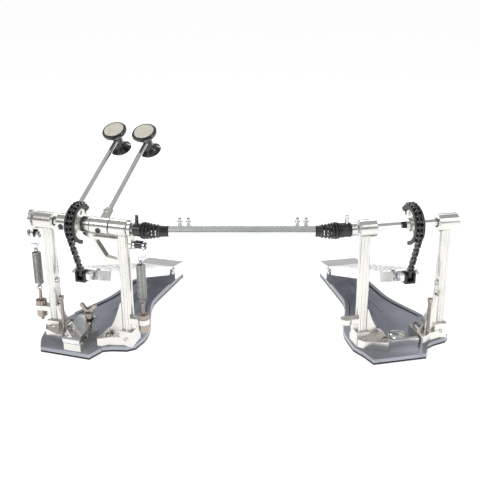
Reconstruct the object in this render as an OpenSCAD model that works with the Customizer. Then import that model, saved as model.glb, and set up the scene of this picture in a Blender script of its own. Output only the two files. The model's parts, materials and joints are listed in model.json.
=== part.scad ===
// Double bass drum pedal: a main unit with two beaters, a remote unit and a drive shaft between them.
// Millimetres, +Z up. The drummer sits on the +Y side and the drum stands on the -Y side.
// Origin: the floor point under the middle of the main unit's axle. +X runs along the drive shaft.
// Each unit is drawn in its own frame: x along its axle, y from toe to heel, z up.

/* [Layout] */
// Height of both axles above the floor
axle_h = 190; // [175:1:205]
// Angle that the main unit is turned from square with the shaft
main_turn = 18; // [10:1:20]
// Angle that the remote unit is turned from square with the shaft
remote_turn = 14; // [10:1:20]
// Distance between the two axle centres along the shaft
unit_gap = 472; // [440:1:520]
// Universal joint centre from the main unit's axle centre
main_joint_u = 110; // [108:1:114]
// Universal joint centre from the remote unit's axle centre
remote_joint_u = 120; // [118:1:124]

/* [Base] */
// Thickness of the rubber sole
sole_t = 3; // [2:0.5:4]
// Thickness of the base plate
plate_t = 5; // [4:0.5:6]
// Half the width of the base plate at its neck
neck_half = 38; // [34:1:40]
// Length of the base plate behind the axle
plate_rear = 300; // [296:1:304]
// Length of the base plate in front of the axle
plate_front = 54; // [52:1:56]
// Sideways offset of footboard, chain and cam from the middle of the frame
board_offset = 6; // [4:1:7]

/* [Footboard] */
// Half the width of the footboard
board_half = 34; // [30:1:36]
// Height of the footboard's top face at the hinge
board_heel_z = 36; // [35:0.5:38]
// Slope of the footboard at rest
board_slope = 18.4; // [17:0.2:19]
// Length of the footboard from hinge to toe
board_len = 250; // [246:1:252]

/* [Drive] */
// Pitch radius of the chain on the cam
cam_r = 30; // [29:0.5:31]
// Chain pitch
chain_pitch = 8; // [8:0.01:8.02]
// Links in the free run of the chain
run_links = 9; // [9:1:9]
// Radius of the drive shaft's tube
tube_r = 9.3; // [9:0.1:10]

/* [Beaters] */
// Angle that the beaters lean back from upright at rest
beater_lean = 60; // [56:0.5:62]
// Distance from the axle to the middle of the beater head
beater_reach = 186; // [178:1:192]
// Radius of the beater's felt disc
felt_r = 16.2; // [15:0.1:16.6]

/* [Hidden] */
plate_z = sole_t;
deck_z = sole_t + plate_t;
foot_top = deck_z + 14;
collar_top = deck_z + 24;
remote_y = remote_joint_u * sin(remote_turn) - main_joint_u * sin(main_turn);
shaft_y = -main_joint_u * sin(main_turn);
shaft_x0 = main_joint_u * cos(main_turn);
shaft_x1 = unit_gap - remote_joint_u * cos(remote_turn);
main_o = -board_offset;
remote_o = board_offset;

// Hinge of the footboard
hinge_y = 248;
hinge_z = 26;
hinge_pin_r = 2.5;
knuckle_r = 5;

// Chain: the free run leaves the cam at tangent_a and ends on the toe pin
toe_y = -2;
toe_z = 112;
toe_d = norm([toe_y, toe_z - axle_h]);
toe_a = atan2(toe_z - axle_h, toe_y);
tangent_a = toe_a - acos(cam_r / toe_d);
link_a = 2 * asin(chain_pitch / 2 / cam_r);
wrap_end = 10;
run_pitch = sqrt(toe_d * toe_d - cam_r * cam_r) / run_links;
pin_r = 1.4;
bush_hole_r = 1.5;
roller_r = 2.4;
link_r = 3.2;
toe_pin_r = 1.6;
toe_eye_r = 3.5;

// Bearings, axles and housings
journal_r = 5;
race_r = 5.05;
bearing_r = 9.5;
bearing_w = 6;
housing_r = 13;
hex_r = 5.5;
hex_bore_r = 5.53;
fit_gap = 0.03;

// Rocker and return spring
rocker_arm = 22;
spring_pin_r = 2.6;
stirrup_eye_r = 4.7;
spring_r = 6.6;
spring_z0 = 86;
spring_z1 = 138;
loop_r = 3.6;
wire_r = 0.9;
eyebolt_r = 2.2;
tab_z0 = 44;
tab_z1 = 52;
main_spring_u = -84;
relay_spring_u = 91;
relay_rocker_u = 78.5;
remote_tab_u = -88;

// Frame positions along each axle
main_post_l = -58;
main_post_r = 66;
remote_post_l = -65;
remote_post_r = 60;
post_w = 12.5;
post_d = 17;
main_hub = [-37, -15];
main_rod_u = -22;
relay_hub = [17.5, 46.5];
relay_rod_u = 31;
carrier = [2, 16];
main_house_l = [-76, -47];
main_house_r = [48.5, 73];
remote_house_l = [-75, -51];
remote_house_r = [45, 75];

// Beater head, measured along its own axis from the rod's centre line
rod_r = 3.97;
rod_foot = 14;
rod_hole_foot = 7;
head_rim_r = 20;
felt_t0 = 17;
felt_t1 = 22;

// Hoop clamp
clamp_x = -2;
clamp_w = 28;
clamp_tilt = 16;
clamp_pivot_y = -26;
clamp_pivot_z = 33;
clamp_bolt_x = 4;
clamp_bolt_y = -8;

// Shaft and boots
boot_r = 12.6;
boot_in = 9.85;
collar_r = 9.5;
stub_r = 6.4;
tube_x0 = 130;
tube_x1 = 336;

// ---------- frames of reference ----------

module main_unit() {
    rotate([0, 0, -main_turn]) children();
}

module remote_unit() {
    translate([unit_gap, remote_y, 0]) rotate([0, 0, remote_turn]) children();
}

module at_axle() {
    translate([0, 0, axle_h]) children();
}

// Footboard frame: y runs along the top face, 0 at the hinge and negative towards the toe
module on_board(o) {
    translate([o, hinge_y, board_heel_z]) rotate([-board_slope, 0, 0]) children();
}

// Rod frame: z runs up the beater rod from the axle
module on_rod(u) {
    translate([u, 0, axle_h]) rotate([-beater_lean, 0, 0]) children();
}

// ---------- shared shapes ----------

module rod_x(x0, x1, r) {
    translate([x0, 0, 0]) rotate([0, 90, 0]) cylinder(h = x1 - x0, r = r, $fn = 64);
}

module hex_x(x0, x1, r) {
    translate([x0, 0, 0]) rotate([0, 90, 0]) cylinder(h = x1 - x0, r = r, $fn = 6);
}

module ring_x(x0, x1, r_out, r_in) {
    difference() {
        rod_x(x0, x1, r_out);
        rod_x(x0 - 1, x1 + 1, r_in);
    }
}

// An outline in the y-z plane, given a thickness along x
module slab_x(x0, x1) {
    translate([x0, 0, 0]) rotate([90, 0, 90]) linear_extrude(x1 - x0) children();
}

// A flat bar with round ends between two points of the y-z plane
module link_plate(p, q, x0, x1, r, hole) {
    d = q - p;
    difference() {
        union() {
            translate([0, p[0], p[1]]) rod_x(x0, x1, r);
            translate([0, q[0], q[1]]) rod_x(x0, x1, r);
            translate([x0, p[0], p[1]]) rotate([atan2(d[1], d[0]), 0, 0])
                translate([0, 0, -r * 0.8]) cube([x1 - x0, norm(d), r * 1.6]);
        }
        translate([0, p[0], p[1]]) rod_x(x0 - 1, x1 + 1, hole);
        translate([0, q[0], q[1]]) rod_x(x0 - 1, x1 + 1, hole);
    }
}

module torus(big_r, small_r) {
    rotate_extrude($fn = 48) translate([big_r, 0]) circle(r = small_r, $fn = 24);
}

function smooth(t) = t * t * (3 - 2 * t);
function clamp01(t) = max(0, min(1, t));

// ---------- base ----------

toe_right = 79;
toe_left = -77;
flare_y0 = 20;
flare_y1 = 168;
flare_steps = 10;
heel_taper = 4;

function flare(y) = smooth(clamp01((y - flare_y0) / (flare_y1 - flare_y0)));
function heel_in(y) = heel_taper * clamp01((y - flare_y1) / (plate_rear - flare_y1));
function right_x(y, o) = toe_right + (o + neck_half - toe_right) * flare(y) - heel_in(y);
function left_x(y, o) = toe_left + (o - neck_half - toe_left) * flare(y) + heel_in(y);
function flare_y(i) = flare_y0 + (flare_y1 - flare_y0) * i / flare_steps;

module base_outline(o) {
    right = [for (i = [0:flare_steps]) [right_x(flare_y(i), o), flare_y(i)]];
    left = [for (i = [flare_steps:-1:0]) [left_x(flare_y(i), o), flare_y(i)]];
    skew = 0.8;
    polygon(concat(
        [[-60 - skew * o, -plate_front], [22 - skew * o, -plate_front], [34, -26], [46, -20]],
        [[68, -14], [77, -4]],
        right,
        [[right_x(plate_rear - 8, o), plate_rear - 8], [right_x(plate_rear, o) - 8, plate_rear]],
        [[left_x(plate_rear, o) + 8, plate_rear], [left_x(plate_rear - 8, o), plate_rear - 8]],
        left,
        [[-78, -8], [-70, -30]]));
}

// A strip that follows one edge of the plate, between two insets from it
module edge_strip(o, side, inset0, inset1, y0, y1) {
    steps = 9;
    ys = concat([for (i = [0:steps]) y0 + (flare_y1 - y0) * i / steps], [y1]);
    outer = [for (y = ys) [side > 0 ? right_x(y, o) - inset0 : left_x(y, o) + inset0, y]];
    inner = [for (i = [steps + 1:-1:0])
        [side > 0 ? right_x(ys[i], o) - inset1 : left_x(ys[i], o) + inset1, ys[i]]];
    polygon(concat(outer, inner));
}

lip_w = 7;
lip_h = 2.5;

module sole(o) {
    color("black") linear_extrude(sole_t) base_outline(o);
}

module base_plate(o) {
    color([0.55, 0.56, 0.62]) {
        translate([0, 0, plate_z]) linear_extrude(plate_t) base_outline(o);
        for (side = [-1, 1])
            translate([0, 0, deck_z - 0.5]) linear_extrude(lip_h + 0.5)
                edge_strip(o, side, 0.5, lip_w, 66, 228);
        for (rib_x = [-7, 7])
            translate([o + rib_x - 1.5, 96, deck_z - 0.5]) cube([3, 130, 2.1]);
    }
}

module heel_plate(o) {
    half = board_half + 1;
    rear = plate_rear - 4;
    wall_y = hinge_y + knuckle_r + 0.6;
    nose_y = hinge_y + 1.3;
    nose_z = hinge_z + knuckle_r + 1.2;
    color([0.9, 0.9, 0.9]) difference() {
        union() {
            difference() {
                slab_x(o - half, o + half) polygon([[wall_y, deck_z], [rear, deck_z], [rear, 26],
                    [rear - 4, 30.5], [nose_y, board_heel_z], [nose_y, nose_z], [wall_y, nose_z]]);
                slab_x(o - half + 5, o + half - 5) polygon([[wall_y + 3, deck_z - 1], [rear - 6, deck_z - 1],
                    [rear - 6, 22], [wall_y + 12, 26], [wall_y + 3, 22]]);
            }
            for (span = [[-34, -24.2], [-5.8, 5.8], [24.2, 34]]) {
                translate([o, hinge_y, hinge_z]) rod_x(span[0], span[1], knuckle_r);
                translate([o + span[0], hinge_y, hinge_z - 4]) cube([span[1] - span[0], 8, 8]);
            }
        }
        translate([o, hinge_y, hinge_z]) rod_x(-40, 40, hinge_pin_r);
    }
}

module hinge_pin(o) {
    color("silver") translate([o, hinge_y, hinge_z]) rod_x(-35.5, 35.5, hinge_pin_r - fit_gap);
}

// ---------- footboard ----------

module footboard(o) {
    toe_half = 20;
    chamfer = 16;
    skin = 4;
    skirt = 15;
    skirt_rear = -12;
    color([0.93, 0.93, 0.93]) difference() {
        union() {
            on_board(o) {
                translate([0, 0, -skin]) linear_extrude(skin) polygon([[-board_half, 0], [-board_half,
                    chamfer - board_len], [-toe_half, -board_len], [toe_half, -board_len],
                    [board_half, chamfer - board_len], [board_half, 0]]);
                for (side = [-1, 1]) {
                    translate([side > 0 ? board_half - skin : -board_half, chamfer - board_len, -skirt])
                        cube([skin, board_len - chamfer + skirt_rear, skirt - 1]);
                    translate([side * 12 - 1.5, 22 - board_len, -9]) cube([3, board_len - 60, 8]);
                }
                translate([0, 0, -skirt]) linear_extrude(skirt - 1) polygon([
                    [-board_half, chamfer - board_len],
                    [-toe_half, -board_len], [toe_half, -board_len], [board_half, chamfer - board_len],
                    [board_half, chamfer - board_len + skin], [toe_half, skin - board_len],
                    [-toe_half, skin - board_len], [-board_half, chamfer - board_len + skin]]);
            }
            for (span = [[-23.8, -6.2], [6.2, 23.8]]) {
                translate([o, hinge_y, hinge_z]) rod_x(span[0], span[1], knuckle_r);
                translate([o + span[0], hinge_y - knuckle_r, hinge_z]) cube([span[1] - span[0], 4.5, 9]);
            }
        }
        translate([o, hinge_y, hinge_z]) rod_x(-30, 30, hinge_pin_r + 0.04);
    }
}

// y of the footboard's front face at height z
function board_front_y(z) = hinge_y - board_len * cos(board_slope)
    - (board_heel_z + board_len * sin(board_slope) - z) * tan(board_slope);

// Black block on the toe that holds the last eye of the chain
module toe_clevis(o) {
    cheek_in = 5.2;
    cheek_out = 8.2;
    nose_y = -9;
    base_z = 101;
    top_z = 114;
    floor_t = 3;
    wall_t = 2.6;
    color("black") {
        for (side = [-1, 1])
            slab_x(o + (side > 0 ? cheek_in : -cheek_out), o + (side > 0 ? cheek_out : -cheek_in))
                polygon([[nose_y, base_z], [board_front_y(base_z), base_z], [board_front_y(top_z), top_z],
                    [0, top_z + 5], [nose_y + 5, top_z + 5], [nose_y, top_z + 1]]);
        slab_x(o - cheek_out, o + cheek_out) polygon([[nose_y, base_z], [board_front_y(base_z), base_z],
            [board_front_y(base_z + floor_t), base_z + floor_t], [nose_y, base_z + floor_t]]);
        slab_x(o - cheek_out, o + cheek_out) polygon([[board_front_y(base_z) - wall_t, base_z],
            [board_front_y(base_z), base_z], [board_front_y(top_z), top_z],
            [board_front_y(top_z) - wall_t, top_z]]);
        translate([o, toe_y, toe_z]) rod_x(-cheek_in - 1, cheek_in + 1, toe_pin_r);
    }
}

// ---------- chain ----------

function wrap_pin(k) = [cam_r * cos(tangent_a - link_a * k), axle_h + cam_r * sin(tangent_a - link_a * k)];
function run_pin(k) = wrap_pin(0) + ([toe_y, toe_z] - wrap_pin(0)) * k / run_links;

module outer_link(p, q) {
    for (side = [-1, 1])
        link_plate(p, q, side > 0 ? 2.9 : -3.9, side > 0 ? 3.9 : -2.9, link_r, 0.2);
    for (end = [p, q])
        translate([0, end[0], end[1]]) rod_x(-4.5, 4.5, pin_r);
}

module inner_link(p, q) {
    for (side = [-1, 1])
        link_plate(p, q, side > 0 ? 1.7 : -2.7, side > 0 ? 2.7 : -1.7, link_r, bush_hole_r);
    for (end = [p, q])
        translate([0, end[0], end[1]]) ring_x(-2.2, 2.2, roller_r, bush_hole_r);
}

module wrap_link(o, k) {
    translate([o, 0, 0]) {
        if (k % 2 == 0) outer_link(wrap_pin(k), wrap_pin(k + 1));
        else inner_link(wrap_pin(k), wrap_pin(k + 1));
    }
}

module chain_wrap(o) {
    color([0.1, 0.1, 0.1]) for (k = [3:wrap_end - 1]) wrap_link(o, k);
}

module chain_run(o) {
    color([0.1, 0.1, 0.1]) {
        wrap_link(o, 0);
        translate([o, 0, 0]) {
            for (k = [0:run_links - 2]) {
                if (k % 2 == 0) inner_link(run_pin(k), run_pin(k + 1));
                else outer_link(run_pin(k), run_pin(k + 1));
            }
            toe_eye(run_pin(run_links - 1), [toe_y, toe_z]);
        }
    }
}

// Last link: a wide eye that hangs loosely on the toe pin
module toe_eye(p, q) {
    difference() {
        union() {
            link_plate(p, q, -2.3, 2.3, link_r, bush_hole_r);
            translate([0, q[0], q[1]]) rod_x(-2.3, 2.3, toe_eye_r + 1.5);
        }
        translate([0, q[0], q[1]]) rod_x(-3, 3, toe_eye_r);
    }
}

// ---------- cam ----------

rim_in = 23.5;
rim_base = 26.5;
rim_flange = 29.2;
rim_half = 7;
channel_half = 5.2;
rim_a0 = 43;
rim_a1 = 262;
anchor_a0 = 25;
anchor_a1 = 41.5;

// Turns a profile drawn as [radius, x] about the axle, between two angles from +y towards +z
module sweep_cam(o, a0, a1) {
    translate([o, 0, axle_h]) rotate([0, 90, 0]) rotate([0, 0, a0 - 270])
        rotate_extrude(angle = a1 - a0, $fn = 96) children();
}

module cam_rim(o) {
    color([0.08, 0.08, 0.08]) sweep_cam(o, rim_a0, rim_a1) polygon([[rim_in, -rim_half],
        [rim_flange, -rim_half], [rim_flange, -channel_half], [rim_base, -channel_half],
        [rim_base, channel_half], [rim_flange, channel_half], [rim_flange, rim_half], [rim_in, rim_half]]);
}

module cam(o) {
    web = 2.5;
    color("silver") {
        difference() {
            union() {
                translate([o, 0, axle_h]) rod_x(-rim_half, rim_half, 10);
                sweep_cam(o, anchor_a0, rim_a1) translate([8, -web]) square([rim_in - fit_gap - 8, 2 * web]);
            }
            translate([0, 0, axle_h]) hex_x(o - 10, o + 10, hex_bore_r);
            for (a = [75, 120, 165, 210])
                translate([o, 16.5 * cos(a), axle_h + 16.5 * sin(a)]) rod_x(-4, 4, 3.4);
        }
        sweep_cam(o, anchor_a0 + 1, anchor_a1) translate([20, -4]) square([12, 8]);
    }
}

// ---------- posts and feet ----------

// A fluted post from z0 up to the bearing housing that it carries
module post(u, z0, house) {
    top = axle_h - 8;
    flute_x = 2.7;
    translate([u, 0, z0]) difference() {
        linear_extrude(top - z0) difference() {
            square([post_w, post_d], center = true);
            for (side = [-1, 1]) {
                translate([-flute_x, side * (post_d / 2 + 0.6)]) circle(r = 1.6, $fn = 32);
                translate([flute_x, side * (post_d / 2 + 0.6)]) circle(r = 1.6, $fn = 32);
            }
            for (side = [-1, 1]) translate([side * (post_w / 2 + 2.4), 0]) circle(r = 4, $fn = 32);
            for (sx = [-1, 1], sy = [-1, 1])
                translate([sx * post_w / 2, sy * post_d / 2]) rotate(45) square(2.2, center = true);
        }
    }
    at_axle() rod_x(house[0], house[1], housing_r);
}

module spring_tab(post_u, tab_u) {
    side = tab_u > post_u ? 1 : -1;
    strut = 10;
    translate([0, 0, tab_z0]) {
        translate([min(tab_u, post_u), -7, 0]) cube([abs(tab_u - post_u), 14, tab_z1 - tab_z0]);
        translate([tab_u, 0, 0]) cylinder(h = tab_z1 - tab_z0, r = 9, $fn = 48);
        translate([post_u + side * (post_w / 2 - 2) - (side > 0 ? 0 : strut), -4, -10]) cube([strut, 8, 11]);
    }
}

module eyebolt_hole(tab_u) {
    translate([tab_u, 0, tab_z0 - 1]) cylinder(h = tab_z1 - tab_z0 + 2, r = eyebolt_r + 0.1, $fn = 48);
}

module housing_bore(house) {
    at_axle() rod_x(house[0] + 2, house[1] - 2, bearing_r);
    at_axle() rod_x(house[0] - 1, house[1] + 1, bearing_r - 2.5);
}

module main_post_left() {
    color([0.86, 0.86, 0.83]) difference() {
        union() {
            post(main_post_l, collar_top, main_house_l);
            spring_tab(main_post_l, main_spring_u);
        }
        housing_bore(main_house_l);
        eyebolt_hole(main_spring_u);
    }
}

brace_t = 5;

module main_post_right() {
    color([0.86, 0.86, 0.83]) difference() {
        union() {
            post(main_post_r, collar_top, main_house_r);
            spring_tab(main_post_r, relay_spring_u);
            at_axle() rod_x(carrier[0], carrier[1], 12);
            translate([0, brace_t, 0]) rotate([90, 0, 0]) linear_extrude(2 * brace_t) difference() {
                polygon([[carrier[0], 184], [carrier[0], 177], [16, 168], [36, 138], [63, 134], [63, 174.5],
                    [18, 174.5], [16, 184]]);
                polygon([[21, 170.5], [38, 145], [56, 142], [56, 170.5]]);
            }
        }
        housing_bore(main_house_r);
        eyebolt_hole(relay_spring_u);
        at_axle() rod_x(carrier[0] - 1, carrier[1] + 1, bearing_r);
    }
}

module remote_post_left() {
    color([0.86, 0.86, 0.83]) difference() {
        union() {
            post(remote_post_l, collar_top, remote_house_l);
            spring_tab(remote_post_l, remote_tab_u);
        }
        housing_bore(remote_house_l);
        eyebolt_hole(remote_tab_u);
    }
}

module remote_post_right() {
    color([0.86, 0.86, 0.83]) difference() {
        post(remote_post_r, collar_top, remote_house_r);
        housing_bore(remote_house_r);
    }
}

// Foot casting: side is the direction of its gusset, towards the middle of the frame, and outward is how
// far it reaches past the post on the other side
module foot(post_u, side, reach, gusset_z, outward) {
    inner = post_u + side * reach;
    outer = post_u - side * outward;
    x0 = min(inner, outer);
    x1 = max(inner, outer);
    arc_steps = 8;
    arc_w = abs(inner - post_u) - post_w / 2 - 4;
    gusset = [for (i = [0:arc_steps]) [post_u + side * (post_w / 2 + 2 + arc_w * i / arc_steps),
        foot_top + 4 + (gusset_z - foot_top) * pow(1 - i / arc_steps, 2)]];
    color([0.88, 0.88, 0.86]) difference() {
        union() {
            translate([0, 0, deck_z]) linear_extrude(foot_top - deck_z)
                polygon(side > 0 ? [[x0, -10], [x0 + 8, -22], [x1 - 6, -34], [x1, -30], [x1, 16],
                        [x0 + 6, 22], [x0, 16]]
                    : [[x0, 16], [x0, -27], [x0 + 2, -29], [40, -18.5], [64, -11.5], [x1 - 1, -3], [x1, 16],
                        [x1 - 6, 22]]);
            translate([post_u - post_w / 2 - 4, -post_d / 2 - 4, deck_z]) cube([post_w + 8, post_d + 8, 24]);
            translate([0, 4, 0]) rotate([90, 0, 0]) linear_extrude(12)
                polygon(concat([[post_u, foot_top - 2]], [[post_u, gusset_z + 4]], gusset,
                    [[inner - side * 2, foot_top - 2]]));
        }
        translate([post_u - post_w / 2 - 0.1, -post_d / 2 - 0.1, collar_top - 0.01])
            cube([post_w + 0.2, post_d + 0.2, 80]);
    }
}

// ---------- bearings and axles ----------

module bearing(x0) {
    at_axle() ring_x(x0, x0 + bearing_w, bearing_r - fit_gap, race_r);
}

module bearing_rings() {
    color("silver") {
        main_unit() {
            bearing(main_house_l[0] + 3);
            bearing(main_house_l[1] - 3 - bearing_w);
            bearing(carrier[0] + 0.8);
            bearing(carrier[1] - 0.8 - bearing_w);
            bearing(main_house_r[0] + 3);
            bearing(main_house_r[1] - 3 - bearing_w);
        }
        remote_unit() {
            bearing(remote_house_l[0] + 3);
            bearing(remote_house_l[1] - 3 - bearing_w);
            bearing(remote_house_r[0] + 3);
            bearing(remote_house_r[1] - 3 - bearing_w);
        }
    }
}

main_axle_end = 8.7;
relay_axle_start = 9.3;

module main_axle() {
    color("gainsboro") at_axle() {
        rod_x(-91, main_house_l[1] + 1, journal_r);
        hex_x(main_house_l[1] + 0.5, carrier[0] - 0.6, hex_r);
        rod_x(carrier[0] - 1, main_axle_end, journal_r);
    }
}

module relay_axle() {
    color("gainsboro") at_axle() {
        rod_x(relay_axle_start, carrier[1] + 1, journal_r);
        hex_x(carrier[1] + 0.6, main_house_r[0] - 0.6, hex_r);
        rod_x(main_house_r[0] - 1, 95, journal_r);
    }
}

module remote_axle() {
    color("gainsboro") at_axle() {
        rod_x(-98, remote_house_l[1] + 1, journal_r);
        hex_x(remote_house_l[1] + 0.6, remote_house_r[0] - 0.6, hex_r);
        rod_x(remote_house_r[0] - 1, 79, journal_r);
        rod_x(77, 80, 6.5);
    }
}

// ---------- beaters ----------

module beater_hub(span, rod_u) {
    boss_r = 7.5;
    boss_foot = 9; // clear of the hexagonal bore
    boss_top = 31;
    color("silver") difference() {
        union() {
            at_axle() rod_x(span[0], span[1], 13);
            on_rod(rod_u) translate([0, 0, boss_foot]) cylinder(h = boss_top - boss_foot, r = boss_r, $fn = 48);
            on_rod(rod_u) translate([0, -boss_r - 3, 22]) rotate([-90, 0, 0]) cylinder(h = 6, r = 3, $fn = 32);
        }
        at_axle() hex_x(span[0] - 1, span[1] + 1, hex_bore_r);
        on_rod(rod_u) translate([0, 0, rod_hole_foot]) cylinder(h = boss_top, r = rod_r + 0.05, $fn = 48);
    }
}

module beater_rod(u) {
    color("gainsboro") on_rod(u) translate([0, 0, rod_foot])
        cylinder(h = beater_reach + 12 - rod_foot, r = rod_r, $fn = 48);
}

// Beater head frame: z points out of the felt face
module on_head(u) {
    on_rod(u) translate([0, 0, beater_reach]) rotate([90, 0, 0]) children();
}

module beater_body(u) {
    bell = [for (i = [6:-1:0]) [8 + 10 * pow(i / 6, 1.6), -7 - 12 * i / 6]];
    color([0.07, 0.07, 0.07]) difference() {
        on_head(u) rotate_extrude($fn = 64) polygon(concat([[0, -21], [16.5, -21]], bell,
            [[8, 9], [14, 12], [19, 13.5], [head_rim_r, 15.5], [head_rim_r, 18.5], [head_rim_r - 1.6, 20.5],
            [felt_r + fit_gap, 20.5], [felt_r + fit_gap, felt_t0], [0, felt_t0]]));
        on_rod(u) cylinder(h = beater_reach + 40, r = rod_r + fit_gap, $fn = 48);
    }
}

module beater_felt(u) {
    color([0.94, 0.9, 0.84]) on_head(u) rotate_extrude($fn = 64)
        polygon([[0, felt_t0], [felt_r, felt_t0], [felt_r, felt_t1 - 1.5], [felt_r - 1.5, felt_t1],
            [0, felt_t1]]);
}

// ---------- return springs ----------

rocker_t = 5;

// Rocker plate on the axle with the pin that the stirrup hangs on
module rocker(plate_u, pin_u0, pin_u1) {
    color([0.9, 0.9, 0.88]) difference() {
        union() {
            link_plate([0, axle_h + 7], [0, axle_h - rocker_arm], plate_u - rocker_t / 2,
                plate_u + rocker_t / 2, 8, 0.2);
            translate([0, 0, axle_h]) rod_x(plate_u - rocker_t / 2, plate_u + rocker_t / 2, 11);
            translate([0, 0, axle_h - rocker_arm]) rod_x(pin_u0, pin_u1, spring_pin_r);
        }
        translate([0, 0, axle_h]) rod_x(plate_u - 6, plate_u + 6, journal_r + fit_gap);
    }
}

module stirrup(u) {
    drop = 1.8;
    leg_x = 7.5;
    eye_z = axle_h - rocker_arm - drop;
    bar_z = 150;
    color("silver") translate([u, 0, 0]) {
        for (side = [-1, 1]) translate([side * leg_x, 0, 0]) {
            translate([0, 0, eye_z]) ring_x(-1.3, 1.3, stirrup_eye_r + 1.8, stirrup_eye_r);
            translate([0, 0, bar_z]) cylinder(h = eye_z - bar_z - stirrup_eye_r - 0.4, r = 1.3, $fn = 32);
        }
        translate([0, 0, bar_z]) rod_x(-leg_x - 1.3, leg_x + 1.3, 1.3);
        translate([0, 0, bar_z - 1.2 - loop_r]) rotate([90, 0, 0]) torus(loop_r, wire_r);
    }
}

spring_turns = 15;

module spring(u) {
    pitch = (spring_z1 - spring_z0) / spring_turns;
    bumps = [for (i = [0:spring_turns - 1], j = [0:3])
        [spring_r - 0.9 + 0.9 * sin(j * 60), spring_z0 + pitch * (i + j / 3.6)]];
    color([0.42, 0.45, 0.42]) translate([u, 0, 0]) {
        rotate_extrude($fn = 48) polygon(concat([[spring_r - 2.4, spring_z0]], bumps,
            [[spring_r - 0.9, spring_z1], [spring_r - 2.4, spring_z1]]));
        translate([0, 0, spring_z0]) cylinder(h = 1.6, r = spring_r - 1, $fn = 48);
        translate([0, 0, spring_z1 - 1.6]) cylinder(h = 1.6, r = spring_r - 1, $fn = 48);
        translate([0, 0, spring_z0 - 1.3]) rotate([0, 90, 0]) torus(loop_r, wire_r);
        translate([0, 0, spring_z1 + 2.2]) rotate([0, 90, 0]) torus(loop_r, wire_r);
    }
}

module eyebolt(u) {
    color("tan") translate([u, 0, 0]) {
        translate([0, 0, 26]) cylinder(h = 50.5, r = eyebolt_r, $fn = 48);
        translate([0, 0, spring_z0 - 6.5]) rotate([90, 0, 0]) torus(loop_r, wire_r);
    }
}

module tension_nuts(u) {
    color([0.55, 0.5, 0.46]) translate([u, 0, 0]) {
        difference() {
            translate([0, 0, tab_z1]) linear_extrude(7) difference() {
                circle(r = 8.5, $fn = 64);
                for (i = [0:11]) rotate(30 * i) translate([9.4, 0]) circle(r = 1.7, $fn = 24);
            }
            translate([0, 0, tab_z1 - 1]) cylinder(h = 9, r = eyebolt_r + fit_gap, $fn = 48);
        }
        difference() {
            union() {
                translate([0, 0, tab_z0 - 11]) cylinder(h = 11, r = 8, $fn = 48);
                translate([0, 0, tab_z0 - 14]) cylinder(h = 4, r = 5, $fn = 6);
            }
            translate([0, 0, tab_z0 - 16]) cylinder(h = 18, r = eyebolt_r + fit_gap, $fn = 48);
        }
    }
}

// ---------- hoop clamp ----------

module clamp_lower_jaw() {
    color("silver") difference() {
        union() {
            slab_x(clamp_x - clamp_w / 2, clamp_x + clamp_w / 2) polygon([[-52, deck_z], [2, deck_z],
                [2, 22], [-16, 24], [clamp_pivot_y - 5, 24], [-40, 20], [-52, 20]]);
            translate([clamp_x, clamp_pivot_y, clamp_pivot_z - 6]) rod_x(-clamp_w / 2, clamp_w / 2, 4);
            translate([clamp_x - clamp_w / 2, clamp_pivot_y - 4, 20]) cube([clamp_w, 8, 8]);
        }
        translate([clamp_bolt_x, clamp_bolt_y, deck_z + 2]) cylinder(h = 40, r = 3.05, $fn = 48);
    }
}

module clamp_upper_jaw() {
    half = 29;
    t = 4;
    color([0.8, 0.85, 0.9]) difference() {
        translate([clamp_x, clamp_pivot_y, clamp_pivot_z]) rotate([clamp_tilt, 0, 0]) {
            slab_x(-clamp_w / 2, clamp_w / 2) polygon([[-half, 0], [half, 0], [half, t], [half - 3, t + 1],
                [-half + 3, t + 1], [-half, t]]);
            slab_x(-clamp_w / 2, clamp_w / 2) polygon([[-half, -4], [-half + 3, -4], [-half + 3, 1],
                [-half, 1]]);
        }
        translate([clamp_bolt_x, clamp_bolt_y, deck_z + 2]) cylinder(h = 60, r = 4.6, $fn = 48);
    }
}

module wing_bolt() {
    neck_z = 46;
    wing_z = 53;
    color([0.5, 0.46, 0.43]) translate([clamp_bolt_x, clamp_bolt_y, 0]) {
        translate([0, 0, 14]) cylinder(h = neck_z - 13, r = 3, $fn = 48);
        translate([0, 0, neck_z]) cylinder(h = wing_z - neck_z, r = 6.5, $fn = 48);
        translate([0, 2, wing_z]) rotate([90, 0, 0]) linear_extrude(4)
            polygon([[-5, -2], [5, -2], [9, 5], [14, 10], [13, 14], [9, 14], [4, 7], [0, 5], [-4, 7], [-9, 14],
                [-13, 14], [-14, 10], [-9, 5]]);
    }
}

// ---------- fasteners ----------

module cap_screw(x, y, z) {
    translate([x, y, z]) difference() {
        cylinder(h = 4, r = 4, $fn = 48);
        translate([0, 0, 1.6]) cylinder(h = 4, r = 2, $fn = 6);
    }
}

module height_screw(x, y) {
    translate([x, y, foot_top]) cylinder(h = 50, r = 2.3, $fn = 32);
    translate([x, y, foot_top + 50]) cylinder(h = 5, r = 4.5, $fn = 6);
}

module frame_screws() {
    color([0.5, 0.46, 0.43]) {
        main_unit() {
            height_screw(-37, -15);
            cap_screw(-40, 10, foot_top);
            cap_screw(38, -14, foot_top);
            cap_screw(32, 11, foot_top);
        }
        remote_unit() {
            height_screw(37, -15);
            cap_screw(30, 11, foot_top);
            cap_screw(-36, -24, foot_top);
            cap_screw(-35, 11, foot_top);
        }
    }
}

// ---------- drive shaft ----------

coupler_ear_r = 5.4;
stub_ear_r = 3.6;
ear_in = 5.6;
ear_out = 8.2;
cross_pin_r = 2;
cross_reach = 7.8;

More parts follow.
